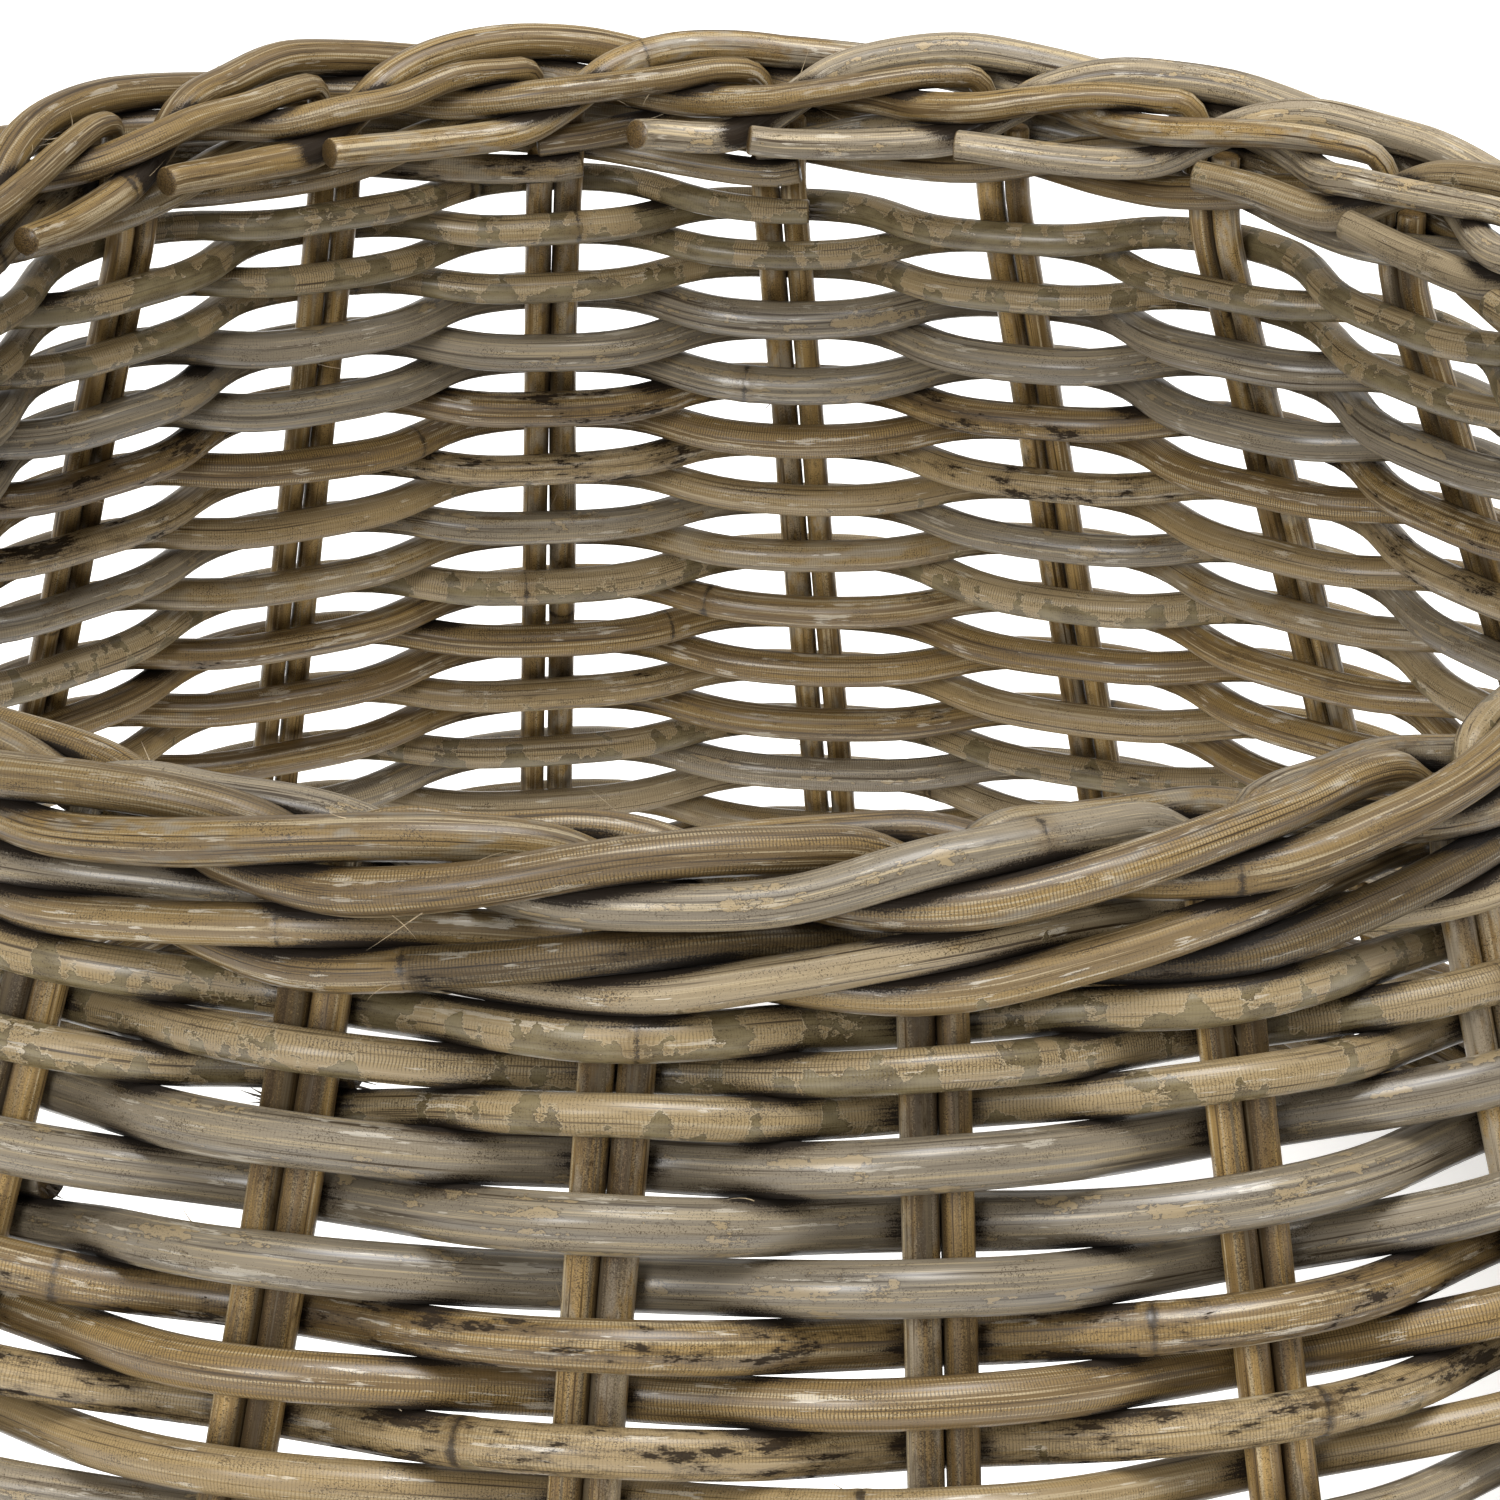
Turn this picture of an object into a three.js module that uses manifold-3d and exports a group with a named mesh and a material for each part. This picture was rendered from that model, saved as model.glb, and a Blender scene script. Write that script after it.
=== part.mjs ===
import * as THREE from 'three';
import Module from 'manifold-3d';

// Round open basket for the foot of a christmas tree: pairs of stakes stand in a flared ring,
// two weavers wind down them in and out, and three-rod bands finish the rim and the foot.
// Lengths are in mm, Z is up and the basket rests on z = 0.

const stakeCount = 24;
const rimRadius = 205;
const wallLean = THREE.MathUtils.degToRad(22);
const stakeTwist = THREE.MathUtils.degToRad(-2);

const stakeRodRadius = 3.4;
const stakeRodSpacing = 6.6;
const stakeFootClearance = 3;

const weaverTurns = 12;
const weaverStartStake = 17;
const weaverHalfWidth = 4.8;
const weaverHalfHeight = 4.3;
const rowPitch = 10;

const waleRodRadius = 3.8;
const borderRodRadius = 4.5;
const flatShare = 0.9;
const lieClearance = 0.5;
const rodEndGap = 1;
const easeHeight = 20;
const footFlatDepth = 1.5;

const rowsDepth = 2 * weaverTurns * rowPitch;
const waleLayUnit = waleRodRadius + lieClearance / 2;
const borderLayUnit = borderRodRadius + lieClearance / 2;
const waleHalfHeight = 1.4 * waleLayUnit + flatShare * waleRodRadius;
const topWaleHeight = weaverHalfHeight + waleHalfHeight + 3 * lieClearance;
const footWaleHeight = -rowsDepth - topWaleHeight;
const footRimHeight = footWaleHeight - 2 * waleHalfHeight - lieClearance;
const borderLowHeight = topWaleHeight + waleHalfHeight + flatShare * borderRodRadius;
const borderBaseHeight = borderLowHeight + lieClearance;
const stakeStubHeight = borderBaseHeight - lieClearance;
const footHeight = footRimHeight - waleHalfHeight + footFlatDepth;
const topRowHeight = rowsDepth * Math.cos(wallLean) - (footHeight + rowsDepth);

const { Manifold, Mesh } = await Module().then((wasm) => {
  wasm.setup();
  return wasm;
});

// Height is measured along the wall from the first row, positive towards the rim.
// The wall leans between the first and last rows and stands upright at the rim and the foot.
function wallAt(height) {
  const above = THREE.MathUtils.clamp(height, 0, easeHeight);
  const below = THREE.MathUtils.clamp(-height - rowsDepth, 0, easeHeight);
  const straight = THREE.MathUtils.clamp(-height, 0, rowsDepth);
  const eased = (length) => length - (length * length) / (2 * easeHeight);
  const upright = Math.max(height, 0) + Math.min(height + rowsDepth, 0);
  const share = straight / rowsDepth;
  const footRadius = rimRadius + Math.sin(wallLean) * rowsDepth;
  const aside = share * footRadius * Math.sin(stakeTwist);
  const ahead = (1 - share) * rimRadius + share * footRadius * Math.cos(stakeTwist);
  return {
    radius: rimRadius + Math.sin(wallLean) * (straight + eased(below) - eased(above)),
    level: topRowHeight - straight * Math.cos(wallLean) + upright,
    lean: wallLean * (1 - (above + below) / easeHeight),
    twist: Math.atan2(aside, ahead),
  };
}

// A station is a place counted in stakes round the ring, a distance out from the stakes
// and a height along the wall.
function wallStation(stake, out, height) {
  const wall = wallAt(height);
  const angle = (2 * Math.PI * stake) / stakeCount + wall.twist;
  const radial = new THREE.Vector3(Math.cos(angle), Math.sin(angle), 0);
  const outward = radial.clone().multiplyScalar(Math.cos(wall.lean)).setZ(Math.sin(wall.lean));
  const point = radial.clone().multiplyScalar(wall.radius).setZ(wall.level);
  return { point: point.addScaledVector(outward, out), outward };
}

function stakeSpacingAt(height) {
  return (2 * Math.PI * wallAt(height).radius) / stakeCount;
}

// Sweeps an outline, whose x axis points out of the wall, along a row of stations.
function strand(stations, outline) {
  const positions = [];
  const faces = [];
  stations.forEach((station, i) => {
    const before = stations[Math.max(i - 1, 0)].point;
    const after = stations[Math.min(i + 1, stations.length - 1)].point;
    const along = after.clone().sub(before).normalize();
    const side = station.outward.clone().addScaledVector(along, -station.outward.dot(along));
    side.normalize();
    const up = new THREE.Vector3().crossVectors(side, along);
    outline.forEach((corner) => {
      const vertex = station.point.clone();
      vertex.addScaledVector(side, corner.x).addScaledVector(up, corner.y);
      positions.push(vertex.x, vertex.y, vertex.z);
    });
  });
  const count = outline.length;
  for (let ring = 0; ring < stations.length - 1; ring += 1) {
    for (let k = 0; k < count; k += 1) {
      const here = ring * count + k;
      const next = ring * count + ((k + 1) % count);
      faces.push(here, here + count, next, next, here + count, next + count);
    }
  }
  const last = (stations.length - 1) * count;
  THREE.ShapeUtils.triangulateShape(outline, []).forEach(([a, b, c]) => {
    faces.push(a, b, c, last + a, last + c, last + b);
  });
  const geometry = new THREE.BufferGeometry();
  geometry.setAttribute('position', new THREE.Float32BufferAttribute(positions, 3));
  geometry.setIndex(faces);
  return geometry;
}

function sixSided(halfWidth, halfHeight) {
  return [0, 1, 2, 3, 4, 5].map((k) => {
    const angle = (k * Math.PI) / 3;
    const height = (Math.sin(angle) * halfHeight) / Math.sin(Math.PI / 3);
    return new THREE.Vector2(Math.cos(angle) * halfWidth, height);
  });
}

function twinOutline() {
  const corners = [];
  [1, -1].forEach((side) => {
    for (let k = -3; k <= 3; k += 2) {
      const angle = (k * Math.PI) / 7;
      const across = side * (stakeRodSpacing / 2 + stakeRodRadius * Math.cos(angle));
      corners.push(new THREE.Vector2(side * stakeRodRadius * Math.sin(angle), across));
    }
  });
  return corners.reverse();
}

function toSolid(geometry) {
  const mesh = new Mesh({
    numProp: 3,
    vertProperties: geometry.getAttribute('position').array,
    triVerts: Uint32Array.from(geometry.getIndex().array),
  });
  return new Manifold(mesh);
}

function toGeometry(solid) {
  const mesh = solid.getMesh();
  const geometry = new THREE.BufferGeometry();
  geometry.setAttribute('position', new THREE.Float32BufferAttribute(mesh.vertProperties, 3));
  geometry.setIndex(Array.from(mesh.triVerts));
  return geometry;
}

// What lies under the floor is cut away, which leaves the flats that the basket rests on.
function cutAtFloor(geometry) {
  const width = 3 * (rimRadius + rowsDepth);
  const below = new THREE.BoxGeometry(width, width, width).translate(0, 0, -width / 2);
  const corners = below.getAttribute('position').array;
  const block = new Mesh({
    numProp: 3,
    vertProperties: corners,
    triVerts: Uint32Array.from(below.getIndex().array),
  });
  block.merge();
  return toGeometry(toSolid(geometry).subtract(new Manifold(block)));
}

function stakePair(stake) {
  const footEnd = footHeight + stakeFootClearance;
  const footEase = -rowsDepth - easeHeight / 2;
  const heights = [footEnd, footEase, -rowsDepth, 0, easeHeight / 2, stakeStubHeight];
  const stations = heights.map((height) => wallStation(stake, 0, height));
  return strand(stations, twinOutline());
}

// A weaver passes in front of one pair of stakes and behind the next, sinking two rows a turn.
// Both of its ends lie behind a pair.
function weaver(topStake, firstStake, lastStake) {
  const lie = weaverHalfWidth + stakeRodRadius * 1.08 + lieClearance;
  const bow = (stakeRodSpacing / 2) * Math.tan(Math.PI / stakeCount);
  const stations = [];
  for (let stake = firstStake; stake <= lastStake; stake += 1) {
    const height = (-2 * rowPitch * (stake - topStake)) / stakeCount;
    const side = (stake - firstStake) % 2 === 0 ? -1 : 1;
    const out = (lie + side * bow) / (1 - stakeRodSpacing / stakeSpacingAt(height));
    stations.push(wallStation(stake, side * out, height));
  }
  return strand(stations, sixSided(weaverHalfWidth, weaverHalfHeight));
}

// Each rod of a wale lies behind one pair of stakes and in front of the next two.
// Its places are stakes on, then out and up in lay units.
const waleLay = [
  [0, -2.2, 0],
  [0.5, 0, -1.35],
  [1, 2.45, -1.4],
  [2, 2.45, 1.4],
  [2.5, 0, 1.35],
];

function waleRod(firstStake, height, direction) {
  const places = [];
  for (let stake = 0; stake < stakeCount; stake += 3) {
    waleLay.forEach(([on, out, up]) => places.push([stake + on, out, up]));
  }
  const endGap = rodEndGap / 2 / stakeSpacingAt(height);
  places[0] = [endGap, waleLay[0][1], 0];
  places.push([stakeCount - endGap, waleLay[0][1], 0]);
  const stations = places.map(([on, out, up]) => {
    const rise = direction * up * waleLayUnit;
    return wallStation(firstStake + on, out * waleLayUnit, height + rise);
  });
  return strand(stations, sixSided(waleRodRadius, waleRodRadius * flatShare));
}

// Each rod of the border curls up over its own stakes, passes behind the next pair and under
// the following rod, lies in front of two pairs and dives to the inside under a later curl.
// Its places are stakes on, then out and up in lay units.
const borderLay = [
  [0, 0, 0],
  [0, 0, 1.05],
  [0.12, -0.5, 1.85],
  [0.3, -1.25, 2.4],
  [0.6, -2.45, 2.4],
  [0.9, -3.05, 1.75],
  [1.1, -2.85, 1.1],
  [1.3, -1.95, 0.4],
  [1.6, 0.3, 0],
  [1.95, 2, 0.1],
  [2.35, 2.2, 0.45],
  [2.75, 2.25, 1.85],
  [3.1, 1.65, 2.4],
  [3.45, 0.4, 2.45],
  [3.75, -0.75, 1.5],
  [3.95, -2, -0.35],
  [4.2, -2.65, -1.45],
  [4.6, -3.5, -1.25],
  [5, -4.25, -0.7],
];

function borderRod(firstStake) {
  const stations = borderLay.map(([on, out, up]) => {
    const height = borderBaseHeight + up * borderLayUnit;
    return wallStation(firstStake + on, out * borderLayUnit, height);
  });
  return strand(stations, sixSided(borderRodRadius, borderRodRadius * flatShare));
}

const group = new THREE.Group();
group.name = 'christmas_tree_basket';

function add(name, geometry, color, roughness) {
  const material = new THREE.MeshStandardMaterial({ color, roughness, metalness: 0 });
  const mesh = new THREE.Mesh(geometry, material);
  mesh.name = name;
  group.add(mesh);
}

const rodColors = [0x9a8a72, 0x7d6b55, 0xa89b88, 0x6b5844];
const waleColors = [0x8a7860, 0x54463a, 0x9c917f];

for (let stake = 0; stake < stakeCount; stake += 1) {
  const number = String(stake + 1).padStart(2, '0');
  add(`stake_pair_${number}`, stakePair(stake), 0x6f5e4b, 0.8);
  add(`border_rod_${number}`, borderRod(stake), rodColors[stake % rodColors.length], 0.7);
}

const fullWind = weaverTurns * stakeCount;
const oppositeStake = weaverStartStake - stakeCount / 2;
const weaverA = weaver(weaverStartStake, weaverStartStake, weaverStartStake + fullWind);
const weaverB = weaver(oppositeStake, oppositeStake + 1, oppositeStake + fullWind - 1);
add('weaver_a', weaverA, 0x9d8d74, 0.75);
add('weaver_b', weaverB, 0x87765f, 0.75);

for (let k = 0; k < 3; k += 1) {
  add(`top_wale_rod_${k + 1}`, waleRod(k, topWaleHeight, 1), waleColors[k], 0.7);
  add(`foot_wale_rod_${k + 1}`, waleRod(k, footWaleHeight, 1), waleColors[k], 0.75);
  add(`foot_rim_rod_${k + 1}`, cutAtFloor(waleRod(k, footRimHeight, -1)), waleColors[k], 0.75);
}

export default group;
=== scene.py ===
import math

import bpy
import numpy as np
from mathutils import Matrix, Vector, kdtree


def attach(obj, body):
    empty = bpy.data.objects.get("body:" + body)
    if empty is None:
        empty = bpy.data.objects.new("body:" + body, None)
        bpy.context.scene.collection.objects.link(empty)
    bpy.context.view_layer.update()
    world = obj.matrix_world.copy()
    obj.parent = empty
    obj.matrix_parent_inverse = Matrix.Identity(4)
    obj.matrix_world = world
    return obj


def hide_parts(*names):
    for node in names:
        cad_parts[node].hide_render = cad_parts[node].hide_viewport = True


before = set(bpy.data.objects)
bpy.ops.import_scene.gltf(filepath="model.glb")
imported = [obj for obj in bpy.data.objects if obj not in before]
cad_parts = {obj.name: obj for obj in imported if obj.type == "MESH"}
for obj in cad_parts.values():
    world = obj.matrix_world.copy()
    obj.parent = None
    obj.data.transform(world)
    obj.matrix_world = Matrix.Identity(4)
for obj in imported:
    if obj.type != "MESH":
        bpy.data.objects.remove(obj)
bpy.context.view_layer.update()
dice = np.random.default_rng(24)

# Lengths are in mm until a mesh is made, heights run along the wall from the first row,
# and places round the ring are counted in stakes.
metresPerMm = 0.001

# the wall that the canes follow
wall = {
    "stakes": 24,
    "rimRadius": 205.0,
    "lean": math.radians(22),
    "stakeTwist": math.radians(-2),
    "rowsDepth": 240.0,
    "ease": 20.0,
    "rowOneLevel": 263.68,
    # how far the hand-made wall rises and sags at each stake, and how much more part way down
    "sag": [-1.5, 0, 2, 4, 4, 2, 0, 2, 4, 5.5, 4, 2,
            0, -1, -2, -2.5, -2, -1, 0, -0.5, -2.5, -5, -5, -3],
    "sagLower": 2.2,
}


def wallPoints(stake, out, height, aside=0.0):
    parts = np.broadcast_arrays(*(np.asarray(v, float) for v in (stake, out, height, aside)))
    stake, out, height, aside = parts
    depth, ease, lean, rim = (wall[k] for k in ("rowsDepth", "ease", "lean", "rimRadius"))
    share = np.clip(-height / depth, 0, 1)
    sag = np.interp(stake, np.arange(wall["stakes"]), wall["sag"], period=wall["stakes"])
    height = height + sag * (1 - share) * (1 + wall["sagLower"] * share)
    above = np.clip(height, 0, ease)
    below = np.clip(-height - depth, 0, ease)
    straight = np.clip(-height, 0, depth)
    upright = np.maximum(height, 0) + np.minimum(height + depth, 0)
    share = straight / depth
    foot = rim + math.sin(lean) * depth
    eased = (below - below**2 / (2 * ease)) - (above - above**2 / (2 * ease))
    radius = rim + math.sin(lean) * (straight + eased)
    tilt = lean * (1 - (above + below) / ease)
    leftwards = share * foot * math.sin(wall["stakeTwist"])
    ahead = (1 - share) * rim + share * foot * math.cos(wall["stakeTwist"])
    reach = radius + out * np.cos(tilt)
    angle = 2 * np.pi * stake / wall["stakes"] + np.arctan2(leftwards, ahead) + aside / reach
    level = wall["rowOneLevel"] - straight * math.cos(lean) + upright + out * np.sin(tilt)
    return np.stack([reach * np.cos(angle), reach * np.sin(angle), level], -1)


def throughPlaces(places, step):
    # a smooth line through (stake, out, height, aside) rows, sampled about every step mm
    places = np.asarray(places, float)
    rough = wallPoints(*places.T)
    lengths = np.linalg.norm(np.diff(rough, axis=0), axis=1)
    knots = np.concatenate([[0], np.cumsum(lengths**0.5)])
    slopes = np.gradient(places, knots, axis=0)
    pieces = []
    for i, length in enumerate(lengths):
        count = max(2, int(round(length / step)))
        u = (np.arange(count) / count)[:, None]
        gap = knots[i + 1] - knots[i]
        h00, h10 = 2 * u**3 - 3 * u**2 + 1, u**3 - 2 * u**2 + u
        h01, h11 = 3 * u**2 - 2 * u**3, u**3 - u**2
        ends = h00 * places[i] + h10 * gap * slopes[i]
        pieces.append(ends + h01 * places[i + 1] + h11 * gap * slopes[i + 1])
    pieces.append(places[-1:])
    return np.concatenate(pieces)


def wander(count, spacing, size):
    # gentle unevenness of a hand-laid cane
    knots = max(4, int(count / spacing) + 3)
    at = np.linspace(0, knots - 1, count)
    values = dice.normal(0, size, knots)
    low = np.clip(at.astype(int), 0, knots - 2)
    part = at - low
    part = part * part * (3 - 2 * part)
    return values[low] * (1 - part) + values[low + 1] * part


# points between changes of a cane's thickness and of its path, and how much its thickness varies
handmade = {"thickEvery": 9, "thickBy": 0.018, "pathEvery": 14}
canes = []


class Cane:
    # places are rows of stake, out, height, aside, and loose is how far height and out stray
    def __init__(self, piece, node, slot, places, radius, finish, firmness=1.0, loose=(0.5, 0.4)):
        count = len(places)
        self.piece, self.node, self.slot = piece, node, slot
        self.finish, self.firmness = finish, firmness
        radius = np.broadcast_to(np.asarray(radius, float), (count,)).copy()
        self.radius = radius * (1 + wander(count, handmade["thickEvery"], handmade["thickBy"]))
        out = places[:, 1] + wander(count, handmade["pathEvery"], loose[1])
        height = places[:, 2] + wander(count, handmade["pathEvery"], loose[0])
        self.points = wallPoints(places[:, 0], out, height, places[:, 3])
        self.stakeAt = places[:, 0]
        canes.append(self)


# tan 0 is bleached grey and 1 is tan, skin is how much peeling bark is left,
# stain is how black it has gone in places, craze is fine cracking across the cane,
# shade is how light it is, nodeAt is where joints are, in stakes from the start,
# and beyond is the finish past the last of them
def finish(tan, skin=0.0, stain=0.15, craze=0.4, shade=1.0, nodeAt=(), beyond=None):
    return {"tan": tan, "skin": skin, "stain": stain, "craze": craze, "shade": shade,
            "nodeAt": nodeAt, "beyond": beyond}


# canes that the photograph doesn't single out draw theirs from these
anyLook = {
    "tan": ([0.2, 0.5, 0.7, 0.85, 1.0], [0.12, 0.18, 0.25, 0.25, 0.2]),  # values and their odds
    "skin": ([0.0, 0.25, 0.6], [0.5, 0.3, 0.2]),
    "stain": (0.05, 0.4),
    "craze": (0.2, 0.8),
    "shade": (0.85, 1.1),
}


def anyFinish(lighter=1.0):
    tan, skin = (dice.choice(values, p=odds) for values, odds in (anyLook["tan"], anyLook["skin"]))
    stain, craze, shade = (dice.uniform(*anyLook[part]) for part in ("stain", "craze", "shade"))
    return finish(tan, skin, stain, craze, shade * lighter)


# two upright canes side by side at each place
stakes = {
    "radius": 3.15,
    "thickness": (0.94, 1.05),
    "aside": 3.25,
    "asideEvery": 18,
    "asideBy": 0.2,
    "leftTop": 19.0,
    "rightTop": 9.0,
    "foot": -277.0,
    "step": 6.0,
    "tan": (0.35, 0.85),
    "stain": 0.3,
    "craze": 0.1,
    "shade": (0.9, 1.2),
    "firmness": 0.12,
    "loose": (0.0, 0.15),
}


def layStakes():
    for stake in range(wall["stakes"]):
        for side, name, top in ((1, "right", stakes["rightTop"]), (-1, "left", stakes["leftTop"])):
            heights = np.arange(top, stakes["foot"], -stakes["step"])
            aside = stakes["aside"] + wander(len(heights), stakes["asideEvery"], stakes["asideBy"])
            places = np.zeros((len(heights), 4))
            places[:, 0] = stake
            places[:, 2] = heights
            places[:, 3] = side * aside
            tan, shade = dice.uniform(*stakes["tan"]), dice.uniform(*stakes["shade"])
            radius = stakes["radius"] * dice.uniform(*stakes["thickness"])
            number = f"{stake + 1:02d}"
            Cane(f"stake_cane_{number}_{name}", f"stake_pair_{number}", "stake_rattan",
                 places, radius, finish(tan, 0.0, stakes["stain"], stakes["craze"], shade),
                 stakes["firmness"], stakes["loose"])


# two weavers that chase each other round the wall, each of canes laid end to end
weave = {
    "turns": 12,
    "step": 0.07,
    "frontStake": 18.3,
    "frontNarrows": 1.3,
    # the rows sag at the left of the photograph, where one more cane lies under the wale
    "dipStake": 15.6,
    "dip": 4.2,
    "dipWidth": 1.1,
    "dipStarts": 0.4,
    # and the upper rows rise past it
    "lift": 2.2,
    "liftAfter": 4,
    "liftRows": 5,
    # on the far side a cane lies lower where it is outside a stake than where it is inside
    "rock": 2.5,
    # on the near side a cane hangs lower where it is inside a stake
    "hang": 1.5,
    "hangStarts": 0.6,
    # how squarely a cane bends round the stakes, in front and how much more on the far side
    "square": (0.3, 1.1),
    # where two canes meet, in stakes past the join and on before it, one end lies above the other
    "lap": 0.14,
    "lapEnd": 0.16,
    "stackedBy": 2.6,
    "stackedOver": 1.2,
    # share of the thickness at an end and what it gains over so many stakes
    "endWidth": (0.82, 0.18),
    "endOver": 1.5,
    "farThinner": 0.09,
    "anyRadius": (4.3, 4.9),
    # painted light against the shade on the far wall: the lower rows and a weaver's far side are made
    # lighter
    "lowerRowsPaintedLight": 1.2,
    "farSidePaintedLight": 1.25,
    # depth of each row under the first, where the photograph looks and on the far side
    "frontRows": np.concatenate([[-0.8, 5.9, 12.4, 20.6, 31, 42.2, 51.6, 61.8, 69.5, 79],
                                 np.linspace(79, 241, 16)[1:]]),
    "backRows": np.concatenate([[0, 8.5, 17], np.linspace(17, 241, 23)[1:]]),
    "weaver_a": {
        "top": 17, "outside": 0,
        "joins": [13, 41, 63, 85, 109, 133, 159, 183, 209, 233, 259, 283, 305],
        "radii": [4.15, 3.95, 5.05, 4.8, 4.5, 4.4],
        "finishes": [finish(0.85, 0.72, 0.12, 0.5, 1.0, [5.2]), finish(0.8, 0.6, 0.2, 0.6, 1.0),
                     finish(0.08, 0.0, 0.1, 0.0, 0.9), finish(0.78, 0.0, 0.62, 0.7, 1.15, [3.5]),
                     finish(0.85, 0.3, 0.66, 0.6, 1.15, [4.8, 7.2]), finish(0.3, 0.1, 0.3, 0.3, 1.0)],
    },
    "weaver_b": {
        "top": 5, "outside": 1,
        "joins": [6, 36, 64, 86, 108, 134, 160, 182, 208, 234, 258, 292],
        "radii": [3.95, 4.95, 5.05, 4.65, 4.4, 4.5],
        "finishes": [finish(0.9, 0.68, 0.15, 0.9, 0.95), finish(0.15, 0.0, 0.15, 0.15, 0.88),
                     finish(0.1, 0.0, 0.12, 0.0, 0.85), finish(0.82, 0.0, 0.2, 1.0, 1.2),
                     finish(0.85, 0.25, 0.2, 0.5, 1.12), finish(0.5, 0.2, 0.2, 0.4, 1.1)],
    },
}


def frontShare(stake):
    angle = 2 * np.pi * (stake - weave["frontStake"]) / wall["stakes"]
    return (0.5 + 0.5 * np.cos(angle)) ** weave["frontNarrows"]


def rowDepth(rows, stake):
    front = frontShare(stake)
    index = np.arange(len(weave["frontRows"]))
    near = np.interp(rows, index, weave["frontRows"])
    far = np.interp(rows, index, weave["backRows"])
    beside = np.mod(stake - weave["dipStake"] + wall["stakes"] / 2, wall["stakes"]) - wall["stakes"] / 2
    dip = weave["dip"] * np.exp(-((beside / weave["dipWidth"]) ** 2))
    dip *= np.clip(rows + weave["dipStarts"], 0, 1)
    lift = weave["lift"] * np.exp(-((beside - weave["liftAfter"]) ** 2))
    lift *= np.clip(1 - rows / weave["liftRows"], 0, 1)
    return front * near + (1 - front) * far + dip - lift


def layWeavers():
    for node in ("weaver_a", "weaver_b"):
        plan = weave[node]
        for i, (start, end) in enumerate(zip(plan["joins"], plan["joins"][1:])):
            known = i < len(plan["radii"])
            radius = plan["radii"][i] if known else dice.uniform(*weave["anyRadius"])
            stake = np.arange(start - weave["lap"], end + weave["lapEnd"], weave["step"])
            front = frontShare(stake)
            square = weave["square"][0] + weave["square"][1] * (1 - front)
            side = np.tanh(square * np.cos(np.pi * (stake - plan["outside"]))) / np.tanh(square)
            rows = np.maximum(2 * (stake - plan["top"]) / wall["stakes"], 0)
            height = -rowDepth(np.minimum(rows, 2 * weave["turns"]), stake)
            height -= weave["rock"] * side * (1 - front)
            height -= weave["hang"] * (1 - side) / 2 * front * np.minimum(rows + weave["hangStarts"], 1)
            before, after = stake - start + weave["lap"], end + weave["lap"] - stake
            height += weave["stackedBy"] * np.clip(1 - after / weave["stackedOver"], 0, 1)
            height -= weave["stackedBy"] * np.clip(1 - before / weave["stackedOver"], 0, 1)
            places = np.stack([stake, side * (radius + stakes["radius"]), height, 0 * stake], -1)
            least, gain = weave["endWidth"]
            ends = np.clip(np.minimum(before, after) / weave["endOver"], 0, 1)
            width = radius * (least + gain * ends)
            width *= 1 - weave["farThinner"] * (1 - front)
            Cane(f"{node}_cane_{i + 1:02d}", node, "weaver_rattan", places, width,
                 plan["finishes"][i] if known else anyFinish(weave["lowerRowsPaintedLight"]))


# bands of three canes: behind one pair of stakes and in front of two
wale = {
    # stakes on, out, up
    "lay": [(0, -7.2, 0), (0.5, -1, -3.4), (1, 7.4, -4.2),
            (1.5, 8.4, 0), (2, 7.4, 4.2), (2.5, -0.5, 3.6)],
    "stakesEach": 3,
    "step": 5.0,
    "radius": 3.85,
    "footRadius": 4.2,
    "topMiddle": 12.0,
    "footMiddle": -253.0,
    "rimMiddle": -271.6,
    # where two canes meet one end lies above the other, over so many stakes
    "lap": 0.13,
    "stackedBy": 2.2,
    "stackedOver": 0.8,
    # share of the thickness at an end and what it gains over so many stakes
    "endWidth": (0.85, 0.15),
    "endOver": 1.2,
    "loose": (0.35, 0.3),
    "joins": {0: [12, 21, 30, 36], 1: [13, 22, 31, 37], 2: [11, 17, 23, 35]},
    # stakes from a foot cane's start to its first join and to its end
    "footJoins": (0, 9, 24),
    "finishes": {
        0: [finish(0.72, 0.15, 0.1, 0.3, 1.05), finish(0.3), finish(0.8, 0.3)],
        1: [finish(0.7, 0.1, 0.3, 0.3, 0.9, nodeAt=[4.45], beyond=finish(1.0, 0.0, 0.5, 1.0, 0.52)),
            finish(0.7), finish(0.5, 0.2, 0.6)],
        2: [finish(0.15, 0.1, 0.3, 0.1, 0.95), finish(0.3, 0.25, 0.1, 0.1, 1.1), finish(0.6, 0.2)],
    },
}


def layWale(name, number, middle, radius, flip, joins, finishes):
    spread = radius / wale["radius"]
    for piece, (start, end) in enumerate(zip(joins, joins[1:])):
        rows = []
        for stake in range(start - wale["stakesEach"], end + wale["stakesEach"], wale["stakesEach"]):
            rows += [(stake + on, out * spread, middle + flip * up * spread, 0.0)
                     for on, out, up in wale["lay"]]
        places = throughPlaces(rows, wale["step"])
        inside = (places[:, 0] > start - wale["lap"]) & (places[:, 0] < end + wale["lap"])
        places = places[inside]
        before, after = places[:, 0] - start, end - places[:, 0]
        places[:, 2] += wale["stackedBy"] * np.clip(1 - after / wale["stackedOver"], 0, 1)
        places[:, 2] -= wale["stackedBy"] * np.clip(1 - before / wale["stackedOver"], 0, 1)
        least, gain = wale["endWidth"]
        ends = np.clip(np.minimum(before, after) / wale["endOver"], 0, 1)
        width = radius * (least + gain * ends)
        Cane(f"{name}_{number}_cane_{piece + 1}", f"{name}_rod_{number}", "wale_rattan",
             places, width, finishes[piece], loose=wale["loose"])


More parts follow.
